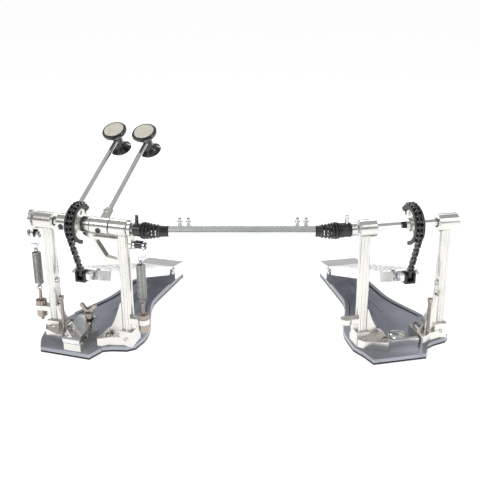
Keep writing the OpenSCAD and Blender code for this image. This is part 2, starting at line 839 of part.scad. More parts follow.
// Yoke pointing along +x with its ears at the joint centre x = 0
module yoke(x_root, ear_turn, ear_r, hole_r) {
    rotate([ear_turn, 0, 0]) for (side = [-1, 1])
        difference() {
            union() {
                translate([0, 0, side > 0 ? ear_in : -ear_out])
                    cylinder(h = ear_out - ear_in, r = ear_r, $fn = 48);
                translate([x_root, -ear_r, side > 0 ? ear_in : -ear_out])
                    cube([-x_root, 2 * ear_r, ear_out - ear_in]);
            }
            translate([0, 0, side * 7 - 3]) cylinder(h = 6, r = hole_r, $fn = 48);
        }
}

module relay_coupler() {
    color([0.1, 0.1, 0.1]) at_axle() {
        ring_x(84.5, 99, collar_r, journal_r + fit_gap);
        translate([main_joint_u, 0, 0]) intersection() {
            union() {
                yoke(-11.5, 0, coupler_ear_r, 4);
                rod_x(-11.5, -9.5, 8.2);
            }
            rod_x(-20, 20, 9.4);
        }
        translate([88.5, 0, collar_r - 1]) cylinder(h = 8, r = 2.6, $fn = 32);
        translate([88.5, 0, collar_r + 7]) cylinder(h = 5, r = 3, $fn = 4);
    }
}

module remote_coupler() {
    color("silver") at_axle() {
        ring_x(-104, -80, collar_r, journal_r + fit_gap);
        translate([-remote_joint_u, 0, 0]) mirror([1, 0, 0]) intersection() {
            union() {
                yoke(-16.5, 0, coupler_ear_r, 4);
                rod_x(-16.5, -9.5, 8.2);
            }
            rod_x(-20, 20, 9.4);
        }
        translate([-94, 0, collar_r - 1]) cylinder(h = 8, r = 2.6, $fn = 32);
        translate([-94, 0, collar_r + 7]) cylinder(h = 5, r = 3, $fn = 4);
    }
}

module on_shaft() {
    translate([0, shaft_y, axle_h]) children();
}

module shaft_tube() {
    color([0.78, 0.8, 0.8]) on_shaft() difference() {
        ring_x(tube_x0, tube_x1, tube_r, stub_r + fit_gap);
        for (x = [tube_x0 + 5, tube_x1 - 5]) translate([x, 0, 5]) cylinder(h = 8, r = 1.2, $fn = 24);
    }
}

module shaft_stubs() {
    color("silver") on_shaft() {
        translate([shaft_x0, 0, 0]) {
            intersection() {
                mirror([1, 0, 0]) yoke(-11, 90, stub_ear_r, cross_pin_r + 0.05);
                rod_x(-20, 20, 9.4);
            }
            rod_x(8.5, 11.5, 8.8);
            rod_x(11, 120, stub_r);
        }
        translate([shaft_x1, 0, 0]) {
            intersection() {
                yoke(-11, 90, stub_ear_r, cross_pin_r + 0.05);
                rod_x(-20, 20, 9.4);
            }
            rod_x(-11.5, -8.5, 8.8);
            rod_x(-80, -11, stub_r);
        }
    }
}

module cross() {
    translate([-2.6, -2.6, -2.6]) cube(5.2);
    for (turn = [0, 90]) rotate([turn, 0, 0])
        translate([0, 0, -cross_reach]) cylinder(h = 2 * cross_reach, r = cross_pin_r, $fn = 32);
}

module joint_crosses() {
    color("silver") on_shaft() {
        translate([shaft_x0, 0, 0]) cross();
        translate([shaft_x1, 0, 0]) cross();
    }
}

// Half of a bellows about the x axis, from x = -reach up to the joint centre
module half_boot(reach) {
    rib = reach / 3;
    ribs = [for (i = [0:2]) each [[boot_r - 2.4, -reach + i * rib], [boot_r, -reach + (i + 0.4) * rib],
        [boot_r, -reach + (i + 0.7) * rib]]];
    rotate([0, 90, 0]) rotate_extrude($fn = 64)
        polygon(concat([[0, -reach]], ribs, [[boot_r - 2.4, 0], [0, 0]]));
}

// Bellows over a universal joint: one half on the coupler's line, the other on the shaft's
module boot(turn, tail) {
    reach = 13.5;
    tail_r = 8;
    tail_in = stub_r + 0.3;
    difference() {
        union() {
            rotate([0, 0, -turn]) half_boot(reach);
            mirror([1, 0, 0]) half_boot(reach);
            sphere(r = boot_r - 1, $fn = 48);
            rod_x(reach - 1, tail, tail_r);
        }
        rotate([0, 0, -turn]) rod_x(-reach - 1, 0, boot_in);
        rod_x(0, reach - 1.6, boot_in);
        sphere(r = boot_in + 0.2, $fn = 48);
        rod_x(0, tail + 1, tail_in);
    }
}

module rubber_boots() {
    color([0.08, 0.08, 0.08]) on_shaft() {
        translate([shaft_x0, 0, 0]) boot(main_turn, 25);
        translate([shaft_x1, 0, 0]) mirror([1, 0, 0]) boot(remote_turn, 19);
    }
}

// ---------- the nodes ----------

union() {  // rubber_soles
    main_unit() sole(main_o);
    remote_unit() sole(remote_o);
}
main_unit() base_plate(main_o);  // main_base_plate
main_unit() foot(main_post_l, 1, 27, 52, 15);  // main_foot_left
main_unit() foot(main_post_r, -1, 41, 72, 10.3);  // main_foot_right
main_unit() main_post_left();
main_unit() main_post_right();
main_unit() heel_plate(main_o);  // main_heel_plate
main_unit() clamp_lower_jaw();
remote_unit() base_plate(remote_o);  // remote_base_plate
remote_unit() foot(remote_post_l, 1, 37, 62, 10.3);  // remote_foot_left
remote_unit() foot(remote_post_r, -1, 39, 72, 15);  // remote_foot_right
remote_unit() remote_post_left();
remote_unit() remote_post_right();
remote_unit() heel_plate(remote_o);  // remote_heel_plate
frame_screws();
bearing_rings();
union() {  // hinge_pins
    main_unit() hinge_pin(main_o);
    remote_unit() hinge_pin(remote_o);
}
rubber_boots();
main_unit() {  // spring_eyebolts
    eyebolt(main_spring_u);
    eyebolt(relay_spring_u);
}
main_unit() {  // spring_nuts
    tension_nuts(main_spring_u);
    tension_nuts(relay_spring_u);
}
main_unit() footboard(main_o);  // main_footboard
main_unit() toe_clevis(main_o);  // main_toe_clevis
remote_unit() footboard(remote_o);  // remote_footboard
remote_unit() toe_clevis(remote_o);  // remote_toe_clevis
main_unit() main_axle();
main_unit() cam(main_o);  // main_cam
main_unit() cam_rim(main_o);  // main_cam_rim
main_unit() chain_wrap(main_o);  // main_chain_wrap
main_unit()  // main_rocker
    rocker(main_spring_u, main_spring_u - 11, main_spring_u + 11);
main_unit() beater_hub(main_hub, main_rod_u);  // main_beater_hub
color([0.1, 0.1, 0.1]) main_unit() wrap_link(main_o, 2);  // main_chain_link_a
color([0.1, 0.1, 0.1]) main_unit() wrap_link(main_o, 1);  // main_chain_link_b
main_unit() chain_run(main_o);  // main_chain_run
remote_unit() remote_axle();
remote_unit() cam(remote_o);  // remote_cam
remote_unit() cam_rim(remote_o);  // remote_cam_rim
remote_unit() chain_wrap(remote_o);  // remote_chain_wrap
remote_unit() remote_coupler();
color([0.1, 0.1, 0.1]) remote_unit() wrap_link(remote_o, 2);  // remote_chain_link_a
color([0.1, 0.1, 0.1]) remote_unit() wrap_link(remote_o, 1);  // remote_chain_link_b
remote_unit() chain_run(remote_o);  // remote_chain_run
main_unit() relay_axle();
main_unit() beater_hub(relay_hub, relay_rod_u);  // relay_beater_hub
main_unit() rocker(relay_rocker_u, relay_rocker_u - 2, relay_spring_u + 11);  // relay_rocker
main_unit() relay_coupler();
shaft_tube();
shaft_stubs();
joint_crosses();
main_unit() beater_rod(main_rod_u);  // main_beater_rod
main_unit() beater_body(main_rod_u);  // main_beater_body
main_unit() beater_felt(main_rod_u);  // main_beater_felt
main_unit() beater_rod(relay_rod_u);  // relay_beater_rod
main_unit() beater_body(relay_rod_u);  // relay_beater_body
main_unit() beater_felt(relay_rod_u);  // relay_beater_felt
main_unit() spring(main_spring_u);  // main_spring
main_unit() spring(relay_spring_u);  // relay_spring
main_unit() stirrup(main_spring_u);  // main_spring_stirrup
main_unit() stirrup(relay_spring_u);  // relay_spring_stirrup
main_unit() clamp_upper_jaw();
main_unit() wing_bolt();
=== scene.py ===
import json
import math
import random

import bmesh
import bpy
from mathutils import Matrix, Vector


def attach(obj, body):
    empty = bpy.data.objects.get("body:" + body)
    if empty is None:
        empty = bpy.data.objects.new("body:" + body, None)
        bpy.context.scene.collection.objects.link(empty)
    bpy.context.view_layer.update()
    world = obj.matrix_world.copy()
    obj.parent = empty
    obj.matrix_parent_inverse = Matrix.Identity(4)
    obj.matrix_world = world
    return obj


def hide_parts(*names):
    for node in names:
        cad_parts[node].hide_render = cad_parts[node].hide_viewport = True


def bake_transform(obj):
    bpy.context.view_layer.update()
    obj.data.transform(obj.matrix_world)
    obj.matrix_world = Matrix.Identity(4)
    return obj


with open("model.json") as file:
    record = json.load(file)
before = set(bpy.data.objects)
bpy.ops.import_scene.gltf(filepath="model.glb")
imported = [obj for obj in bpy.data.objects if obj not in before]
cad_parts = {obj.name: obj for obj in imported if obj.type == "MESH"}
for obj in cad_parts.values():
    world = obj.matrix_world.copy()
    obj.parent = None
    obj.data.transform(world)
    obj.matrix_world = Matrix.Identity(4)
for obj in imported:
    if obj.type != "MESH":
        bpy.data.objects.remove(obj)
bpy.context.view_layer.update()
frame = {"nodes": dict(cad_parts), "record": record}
NODES = frame["nodes"]
SLOT_OF = {s["node"]: s["material_slot"] for s in frame["record"]["subparts"]}
random.seed(7)

# ---------- the model's own numbers, in millimetres as in part.scad ----------

MM = 0.001
AXLE_H = 190.0
MAIN_TURN = math.radians(18)
REMOTE_TURN = math.radians(14)
UNIT_GAP = 472.0
MAIN_JOINT_U = 110.0
REMOTE_JOINT_U = 120.0
SHAFT_Y = -MAIN_JOINT_U * math.sin(MAIN_TURN)
SHAFT_X0 = MAIN_JOINT_U * math.cos(MAIN_TURN)
SHAFT_X1 = UNIT_GAP - REMOTE_JOINT_U * math.cos(REMOTE_TURN)
REMOTE_Y = REMOTE_JOINT_U * math.sin(REMOTE_TURN) + SHAFT_Y
HINGE = (248.0, 36.0)
BOARD_SLOPE = math.radians(18.4)
BEATER_LEAN = math.radians(60)
BEATER_REACH = 186.0
CAM_R = 30.0
PITCH = 8.0
TOE = (-2.0, 112.0)

WORLD = Matrix.Scale(MM, 4)
MAIN = Matrix.Rotation(-MAIN_TURN, 4, "Z") @ WORLD
REMOTE = Matrix.Translation((UNIT_GAP * MM, REMOTE_Y * MM, 0)) @ Matrix.Rotation(REMOTE_TURN, 4, "Z") @ WORLD
SHAFT = Matrix.Translation((0, SHAFT_Y * MM, AXLE_H * MM)) @ WORLD
UNIT = {"main": MAIN, "remote": REMOTE}
OFFSET = {"main": -6.0, "remote": 6.0}

# ---------- camera, floor and light ----------

CAMERA_AT = (0.2498, -1.0241, 0.5179)
CAMERA_LENS = 55.5
CAMERA_SENSOR = 36.0
CAMERA_SHIFT = -0.0056
CAMERA_AZIMUTH, CAMERA_TILT, CAMERA_ROLL = (math.radians(a) for a in (0.91, 71, -0.3))

# Place in the world's height ramp and the grey there
WORLD_STOPS = [(0.0, 0.95), (0.5, 0.95), (0.53, 0.85), (0.6, 0.10), (0.7, 0.22), (0.8, 0.75), (0.88, 0.30),
    (1.0, 0.55)]


def make_camera():
    cam = bpy.data.objects.new("camera", bpy.data.cameras.new("camera"))
    bpy.context.scene.collection.objects.link(cam)
    cam.data.lens = CAMERA_LENS
    cam.data.sensor_width = CAMERA_SENSOR
    cam.data.shift_x = CAMERA_SHIFT
    cam.data.clip_end = 50
    turn = Matrix.Rotation(CAMERA_AZIMUTH, 4, "Z") @ Matrix.Rotation(CAMERA_TILT, 4, "X")
    cam.matrix_world = Matrix.Translation(CAMERA_AT) @ turn @ Matrix.Rotation(CAMERA_ROLL, 4, "Z")
    bpy.context.scene.camera = cam


def area_light(name, at, aim, size, power, colour=(1, 1, 1)):
    light = bpy.data.lights.new(name, "AREA")
    light.shape = "RECTANGLE"
    light.size, light.size_y = size
    light.energy = power
    light.color = colour
    o = bpy.data.objects.new(name, light)
    bpy.context.scene.collection.objects.link(o)
    o.location = at
    o.rotation_euler = (Vector(aim) - Vector(at)).to_track_quat("-Z", "Y").to_euler()


def make_world():
    world = bpy.data.worlds.new("studio")
    bpy.context.scene.world = world
    world.use_nodes = True
    nt = world.node_tree
    nt.nodes.clear()
    out = nt.nodes.new("ShaderNodeOutputWorld")
    bg = nt.nodes.new("ShaderNodeBackground")
    coord = nt.nodes.new("ShaderNodeTexCoord")
    sep = nt.nodes.new("ShaderNodeSeparateXYZ")
    ramp = nt.nodes.new("ShaderNodeValToRGB")
    half = nt.nodes.new("ShaderNodeMath")
    half.operation = "MULTIPLY_ADD"
    half.inputs[1].default_value = 0.5
    half.inputs[2].default_value = 0.5
    nt.links.new(coord.outputs["Generated"], sep.inputs[0])
    nt.links.new(sep.outputs["Z"], half.inputs[0])
    nt.links.new(half.outputs[0], ramp.inputs[0])
    nt.links.new(ramp.outputs[0], bg.inputs["Color"])
    stops = WORLD_STOPS
    ramp.color_ramp.elements[0].position = stops[0][0]
    ramp.color_ramp.elements[0].color = (stops[0][1],) * 3 + (1,)
    ramp.color_ramp.elements[1].position = stops[-1][0]
    ramp.color_ramp.elements[1].color = (stops[-1][1],) * 3 + (1,)
    for at, value in stops[1:-1]:
        e = ramp.color_ramp.elements.new(at)
        e.color = (value, value, value, 1)
    bg.inputs["Strength"].default_value = 1.0
    nt.links.new(bg.outputs[0], out.inputs[0])


def make_floor():
    mesh = bpy.data.meshes.new("floor")
    s = 30
    mesh.from_pydata([(-s, -s, 0), (s, -s, 0), (s, s, 0), (-s, s, 0)], [], [(0, 1, 2, 3)])
    floor = bpy.data.objects.new("floor", mesh)
    bpy.context.scene.collection.objects.link(floor)
    mat = bpy.data.materials.new("floor")
    mat.use_nodes = True
    b = mat.node_tree.nodes["Principled BSDF"]
    b.inputs["Base Color"].default_value = (0.93, 0.93, 0.93, 1)
    b.inputs["Roughness"].default_value = 0.9
    b.inputs["Specular IOR Level"].default_value = 0.1
    b.inputs["Emission Color"].default_value = (1, 1, 1, 1)
    b.inputs["Emission Strength"].default_value = 0.58
    mesh.materials.append(mat)


# ---------- materials ----------


class Shader:
    """A small builder for node materials: noise, bump, rounded edges and wear."""

    def __init__(self, name, **sockets):
        self.mat = bpy.data.materials.new(name)
        self.mat.use_nodes = True
        self.nt = self.mat.node_tree
        self.b = self.nt.nodes["Principled BSDF"]
        for key, value in sockets.items():
            socket = self.b.inputs[key.replace("_", " ")]
            socket.default_value = (*value, 1) if isinstance(value, tuple) else value
        self.coord = self.node("ShaderNodeTexCoord").outputs["Object"]
        self.height = None

    def node(self, kind, **sockets):
        n = self.nt.nodes.new(kind)
        for key, value in sockets.items():
            self.put(n, key, value)
        return n

    def put(self, n, key, value):
        socket = n.inputs[key.replace("_", " ")] if isinstance(key, str) else n.inputs[key]
        if isinstance(value, bpy.types.NodeSocket):
            self.nt.links.new(value, socket)
        else:
            socket.default_value = value

    def mapped(self, scale, turn=0.0):
        m = self.node("ShaderNodeMapping", Vector=self.coord)
        m.inputs["Scale"].default_value = scale
        m.inputs["Rotation"].default_value = (0, 0, turn)
        return m.outputs[0]

    def noise(self, scale, detail=3.0, vector=None, rough=0.55):
        n = self.node("ShaderNodeTexNoise", Scale=scale, Detail=detail, Roughness=rough)
        self.nt.links.new(vector or self.coord, n.inputs["Vector"])
        return n.outputs["Fac"]

    def ramp(self, fac, stops):
        r = self.node("ShaderNodeValToRGB", Fac=fac)
        e = r.color_ramp.elements
        while len(e) < len(stops):
            e.new(0.5)
        for slot, (at, colour) in zip(e, stops):
            slot.position = at
            slot.color = (*colour, 1) if isinstance(colour, tuple) else (colour, colour, colour, 1)
        return r.outputs[0]

    def span(self, fac, low, high):
        n = self.node("ShaderNodeMapRange", Value=fac)
        n.inputs["To Min"].default_value = low
        n.inputs["To Max"].default_value = high
        return n.outputs[0]

    def mix(self, fac, a, b):
        n = self.nt.nodes.new("ShaderNodeMix")
        n.data_type = "RGBA"
        self.put(n, 0, fac)
        for index, value in ((6, a), (7, b)):
            self.put(n, index, (*value, 1) if isinstance(value, tuple) else value)
        return n.outputs[2]

    def edges(self, radius, low=0.02, high=0.12):
        """A mask of the edges that get rubbed: where a rounded normal leaves the face's own."""
        bevel = self.node("ShaderNodeBevel", Radius=radius)
        bevel.samples = 4
        geo = self.node("ShaderNodeNewGeometry")
        dot = self.nt.nodes.new("ShaderNodeVectorMath")
        dot.operation = "DOT_PRODUCT"
        self.nt.links.new(bevel.outputs[0], dot.inputs[0])
        self.nt.links.new(geo.outputs["Normal"], dot.inputs[1])
        one = self.node("ShaderNodeMapRange", Value=dot.outputs["Value"])
        one.inputs["From Min"].default_value = 1 - high
        one.inputs["From Max"].default_value = 1 - low
        one.inputs["To Min"].default_value = 1
        one.inputs["To Max"].default_value = 0
        return one.outputs[0]

    def relief(self, fac, strength, distance=0.0005):
        n = self.node("ShaderNodeBump", Strength=strength, Distance=distance, Height=fac)
        if self.height is not None:
            self.nt.links.new(self.height, n.inputs["Normal"])
        self.height = n.outputs[0]

    def rounded(self, radius):
        n = self.node("ShaderNodeBevel", Radius=radius)
        n.samples = 4
        self.height = n.outputs[0]

    def done(self):
        if self.height is not None:
            self.nt.links.new(self.height, self.b.inputs["Normal"])
        return self.mat


def metal(name, colour, rough, spread=0.1, grain=900.0, grain_strength=0.15, bevel=0.0006, tint=0.06,
        streak=None):
    s = Shader(name, Metallic=1.0)
    cloud = s.noise(28.0, 4.0)
    dark = tuple(c * (1 - 2.2 * tint) for c in colour)
    light = tuple(min(1.0, c * (1 + tint)) for c in colour)
    s.put(s.b, "Base Color", s.ramp(cloud, [(0.3, dark), (0.5, colour), (0.72, light)]))
    fine = s.noise(160.0, 5.0)
    s.put(s.b, "Roughness", s.span(fine, rough - spread, rough + spread))
    if bevel:
        s.rounded(bevel)
    if streak:
        scale, turn = streak
        s.relief(s.noise(1.0, 4.0, s.mapped(scale, turn)), 0.25, 0.0002)
    if grain_strength:
        s.relief(s.noise(grain, 2.0), grain_strength, 0.0002)
    return s


def painted(name, colour, rough, wear, bevel=0.0005, coat=0.0, spot=0.25, grain=0.1,
        wear_to=(0.55, 0.55, 0.55)):
    s = Shader(name)
    if coat:
        s.b.inputs["Coat Weight"].default_value = coat
        s.b.inputs["Coat Roughness"].default_value = 0.08
    worn = s.edges(bevel * 1.4)
    patch = s.ramp(s.noise(220.0, 4.0), [(0.45, 0.0), (0.62, 1.0)])
    gate = s.nt.nodes.new("ShaderNodeMath")
    gate.operation = "MULTIPLY"
    s.put(gate, 0, worn)
    s.put(gate, 1, patch)
    share = s.nt.nodes.new("ShaderNodeMath")
    share.operation = "MULTIPLY"
    s.put(share, 0, gate.outputs[0])
    share.inputs[1].default_value = wear
    mottled = s.ramp(s.noise(35.0, 4.0),
        [(0.3, tuple(c * (1 - spot) for c in colour)), (0.7, tuple(c * (1 + spot) for c in colour))])
    s.put(s.b, "Base Color", s.mix(share.outputs[0], mottled, wear_to))
    s.put(s.b, "Metallic", share.outputs[0])
    s.put(s.b, "Roughness", s.span(s.noise(120.0, 4.0), rough - 0.06, rough + 0.1))
    s.rounded(bevel)
    s.relief(s.noise(700.0, 2.0), grain, 0.0002)
    return s


def make_materials():
    m = {}
    m["cast_aluminium"] = metal("cast_aluminium", (0.80, 0.79, 0.75), 0.23, 0.06, 1100.0, 0.05, 0.0008,
        0.04).done()
    m["chrome"] = metal("chrome", (0.82, 0.83, 0.85), 0.09, 0.04, 2000.0, 0.01, 0.0003, 0.03).done()
    m["satin_steel"] = metal("satin_steel", (0.74, 0.74, 0.73), 0.24, 0.08).done()
    m["nickel_screws"] = metal("nickel_screws", (0.42, 0.37, 0.33), 0.24, 0.1, 1500.0, 0.1, 0.0004,
        0.12).done()
    m["spring_steel"] = metal("spring_steel", (0.46, 0.48, 0.46), 0.26, 0.1, 1500.0, 0.08, 0.0002, 0.1).done()
    tube = metal("tube_aluminium", (0.80, 0.82, 0.83), 0.27, 0.06, 900.0, 0.0, 0.0004, 0.03,
        ((900, 14, 14), 0.0))
    m["tube_aluminium"] = tube.done()
    for unit, turn in (("main", MAIN_TURN), ("remote", -REMOTE_TURN)):
        board = metal("board_aluminium_" + unit, (0.93, 0.93, 0.95), 0.24, 0.08, 900.0, 0.05, 0.0008, 0.03,
            ((700, 14, 60), turn))
        m["board_aluminium_" + unit] = board.done()
        plate = Shader("plate_" + unit, Metallic=0.6, Coat_Weight=0.6, Coat_Roughness=0.12)
        worn = plate.edges(0.0012)
        tone = plate.ramp(plate.noise(9.0, 3.0), [(0.3, (0.30, 0.32, 0.38)), (0.7, (0.42, 0.44, 0.51))])
        plate.put(plate.b, "Base Color", plate.mix(worn, tone, (0.72, 0.73, 0.76)))
        plate.put(plate.b, "Roughness", plate.span(plate.noise(90.0, 5.0), 0.25, 0.42))
        plate.rounded(0.0006)
        plate.relief(plate.noise(1.0, 4.0, plate.mapped((500, 12, 60), turn)), 0.15, 0.0002)
        m["plate_" + unit] = plate.done()
    m["black_steel"] = painted("black_steel", (0.022, 0.022, 0.024), 0.28, 0.8, 0.0003, 0.4).done()
    m["rim_plastic"] = painted("rim_plastic", (0.018, 0.018, 0.02), 0.34, 0.15, 0.0004).done()
    m["black_plastic"] = painted("black_plastic", (0.012, 0.012, 0.013), 0.16, 0.05, 0.0005, 0.8, 0.3,
        0.03).done()
    m["sole_rubber"] = painted("sole_rubber", (0.02, 0.02, 0.021), 0.62, 0.1, 0.0006, 0, 0.3, 0.5,
        (0.12, 0.12, 0.12)).done()
    m["boot_rubber"] = painted("boot_rubber", (0.014, 0.014, 0.015), 0.36, 0.1, 0.0003, 0.25, 0.3, 0.15,
        (0.1, 0.1, 0.1)).done()
    felt = Shader("felt", Roughness=0.95, Sheen_Weight=0.5, Sheen_Roughness=0.5, Specular_IOR_Level=0.1)
    tone = felt.ramp(felt.noise(140.0, 6.0, None, 0.7),
        [(0.25, (0.66, 0.60, 0.50)), (0.55, (0.84, 0.79, 0.70)), (0.8, (0.90, 0.86, 0.79))])
    felt.put(felt.b, "Base Color", tone)
    felt.relief(felt.noise(900.0, 6.0, None, 0.75), 0.9, 0.0006)
    felt.relief(felt.noise(120.0, 3.0), 0.3, 0.001)
    m["felt"] = felt.done()
    return m


# ---------- mesh helpers ----------


def piece(name, verts, faces, mat, body, slot, place=WORLD, smooth=True, angle=40):
    mesh = bpy.data.meshes.new(name)
    mesh.from_pydata([place @ Vector(v) for v in verts], [], faces)
    mesh.validate()
    bm = bmesh.new()
    bm.from_mesh(mesh)
    bmesh.ops.remove_doubles(bm, verts=bm.verts, dist=1e-7)
    bmesh.ops.recalc_face_normals(bm, faces=bm.faces)
    if smooth:
        for f in bm.faces:
            f.smooth = True
        limit = math.radians(angle)
        for e in bm.edges:
            if len(e.link_faces) == 2 and e.calc_face_angle(0) > limit:
                e.smooth = False
    bm.to_mesh(mesh)
    bm.free()
    mesh.materials.append(mat)
    o = bpy.data.objects.new(name, mesh)
    bpy.context.scene.collection.objects.link(o)
    if body:
        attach(o, body)
    return o


class Build:
    """Collects several shapes into one mesh."""

    def __init__(self):
        self.verts, self.faces = [], []

    def add(self, verts, faces, place=None):
        base = len(self.verts)
        self.verts += [tuple(place @ Vector(v)) if place else tuple(v) for v in verts]
        self.faces += [tuple(i + base for i in f) for f in faces]
        return self

    def lathe(self, profile, place=None, seg=48):
        """Turns [(r, z), ...] about z. A radius of 0 closes an end."""
        verts, faces, rings = [], [], []
        for r, z in profile:
            if r < 1e-6:
                rings.append([len(verts)] * seg)
                verts.append((0, 0, z))
            else:
                rings.append(list(range(len(verts), len(verts) + seg)))
                verts += [(r * math.cos(2 * math.pi * i / seg), r * math.sin(2 * math.pi * i / seg), z)
                    for i in range(seg)]
        for a, b in zip(rings, rings[1:]):
            for i in range(seg):
                j = (i + 1) % seg
                quad = [a[i], a[j], b[j], b[i]]
                quad = [q for k, q in enumerate(quad) if q not in quad[:k]]
                if len(quad) > 2:
                    faces.append(quad)
        return self.add(verts, faces, place)

    def tube(self, path, radius, seg=10, closed=False, cap=True, place=None):
        """A round wire along a path of points."""
        pts = [Vector(p) for p in path]
        n = len(pts)
        verts, faces = [], []
        normal = None
        for i, p in enumerate(pts):
            if closed:
                t = (pts[(i + 1) % n] - pts[i - 1]).normalized()
            else:
                t = (pts[min(i + 1, n - 1)] - pts[max(i - 1, 0)]).normalized()
            if normal is None:
                normal = t.orthogonal().normalized()
            normal = (normal - t * normal.dot(t)).normalized()
            side = t.cross(normal)
            for k in range(seg):
                a = 2 * math.pi * k / seg
                verts.append(tuple(p + radius * (math.cos(a) * normal + math.sin(a) * side)))
        for i in range(n if closed else n - 1):
            a, b = i * seg, ((i + 1) % n) * seg
            for k in range(seg):
                j = (k + 1) % seg
                faces.append((a + k, a + j, b + j, b + k))
        if cap and not closed:
            faces.append(tuple(range(seg))[::-1])
            faces.append(tuple(range((n - 1) * seg, n * seg)))
        return self.add(verts, faces, place)

    def prism(self, outline, z0, z1, place=None, chamfer=0.0):
        """An outline in x-y raised from z0 to z1, with a chamfer round the top."""
        n = len(outline)
        c = Vector((sum(p[0] for p in outline) / n, sum(p[1] for p in outline) / n, 0))
        rings = [(outline, z0)]
        if chamfer:
            rings.append((outline, z1 - chamfer))
            inner = []
            for x, y in outline:
                d = Vector((x, y, 0)) - c
                k = max(0.0, 1 - chamfer / max(d.length, 1e-6))
                inner.append((c.x + d.x * k, c.y + d.y * k))
            rings.append((inner, z1))
        else:
            rings.append((outline, z1))
        verts, faces = [], []
        for pts, z in rings:
            verts += [(x, y, z) for x, y in pts]
        for r in range(len(rings) - 1):
            for i in range(n):
                j = (i + 1) % n
                faces.append((r * n + i, r * n + j, (r + 1) * n + j, (r + 1) * n + i))
        faces.append(tuple(range(n))[::-1])
        faces.append(tuple(range((len(rings) - 1) * n, len(rings) * n)))
        return self.add(verts, faces, place)

    def finish(self, name, mat, body, slot, place=WORLD, **k):
        return piece(name, self.verts, self.faces, mat, body, slot, place, **k)


def shift(x, y, z):
    return Matrix.Translation((x, y, z))


def spin(axis, degrees):
    return Matrix.Rotation(math.radians(degrees), 4, axis)


def regular(r, n, turn=0.0):
    return [(r * math.cos(2 * math.pi * i / n + turn), r * math.sin(2 * math.pi * i / n + turn))
        for i in range(n)]


# ---------- pieces ----------


def socket_screw(build, place, r=3.2, h=2.6):
    """A domed head with a hexagon socket, standing on z = 0."""
    build.lathe([(r, 0), (r, h * 0.72), (r * 0.9, h * 0.92), (r * 0.78, h), (r * 0.5, h)], place, 32)
    hexagon = regular(r * 0.5, 6)
    n = len(hexagon)
    verts = [(x, y, h) for x, y in hexagon] + [(x, y, h * 0.35) for x, y in hexagon]
    faces = [(i, (i + 1) % n, n + (i + 1) % n, n + i) for i in range(n)] + [tuple(range(n, 2 * n))]
    build.add(verts, faces, place)


def key_screw(build, place, stem=6.0):
    """A drum-key screw: threaded stem, collar and square head."""
    thread = []
    steps = int(stem / 0.8)
    for i in range(steps):
        z = stem * i / steps
        thread += [(2.1, z), (2.5, z + 0.4 * stem / steps), (2.1, z + 0.8 * stem / steps)]
    build.lathe([(0, -1)] + thread
        + [(2.2, stem), (4.2, stem), (4.4, stem + 0.5), (4.0, stem + 1.2), (2.6, stem + 1.4),
        (0, stem + 1.4)], place, 32)
    build.prism(regular(3.1, 4, math.pi / 4), stem + 1.2, stem + 6.0, place, 0.5)


def springs(mats):
    for unit, body, u in (("main", "main_spring", -84.0), ("relay", "relay_spring", 91.0)):
        z0, z1, r, wire, loop = 86.0, 138.0, 6.1, 0.92, 3.6
        turns = 27
        path = []
        low, high = z0 - 1.3, z1 + 2.2
        for i in range(23):
            a = math.radians(-60 + 300 * i / 22)
            path.append((0, loop * math.sin(a), low - loop * math.cos(a)))
        for i in range(1, 7):
            t = i / 7
            path.append((r * math.sin(t * math.pi / 2) * 0.9, -loop * (1 - t) * 0.8,
                low + (z0 - low) * t + 0.6 * t))
        n = turns * 20
        for i in range(n + 1):
            a = 2 * math.pi * i / 20
            path.append((r * math.cos(a), r * math.sin(a), z0 + 0.9 + (z1 - z0 - 1.8) * i / n))
        for i in range(1, 7):
            t = i / 7
            path.append((r * (1 - t), loop * t * 0.8, z1 - 0.9 + 1.6 * t))
        for i in range(23):
            a = math.radians(60 + 300 * i / 22)
            path.append((0, loop * math.sin(a), high - loop * math.cos(a)))
        coil = Build().tube([(x + u, y, z) for x, y, z in path], wire, 8)
        o = coil.finish(unit + "_coil", mats["spring_steel"], None, "spring_steel", MAIN, angle=60)
        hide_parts(body)
        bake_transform(o)


def felts(mats):
    """Beater faces: a thick felt disc with a soft edge and a slightly crowned, beaten face."""
    for unit, u in (("main", -22.0), ("relay", 31.0)):
        head = shift(u, 0, AXLE_H) @ Matrix.Rotation(-BEATER_LEAN, 4, "X") @ shift(0, 0,
            BEATER_REACH) @ spin("X", 90)
        profile = [(0, 17.0), (16.1, 17.0), (16.15, 18.5), (16.1, 20.0), (15.8, 21.0), (15.0, 21.6),
            (13.6, 21.9)]
        profile += [(13.6 * (1 - k / 8), 21.9 + 0.1 * math.sin(k / 8 * math.pi / 2)) for k in range(1, 9)]
        build = Build().lathe(profile, head, 72)
        rng = random.Random(11 if unit == "main" else 23)
        phase = [rng.uniform(0, 6.28) for _ in range(6)]
        verts = []
        for v in build.verts:
            p = Vector(v)
            wave = sum(math.sin(p.x * (0.5 + 0.3 * k) + p.y * 0.4 * k + p.z * 0.37 + phase[k])
                for k in range(6)) / 6
            verts.append(tuple(p + (head.to_3x3() @ Vector((0, 0, 1))) * 0.12 * wave))
        build.verts = verts
        o = build.finish(unit + "_beater_face", mats["felt"], unit + "_beater", "felt", MAIN, angle=75)
        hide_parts(unit + "_beater_felt")


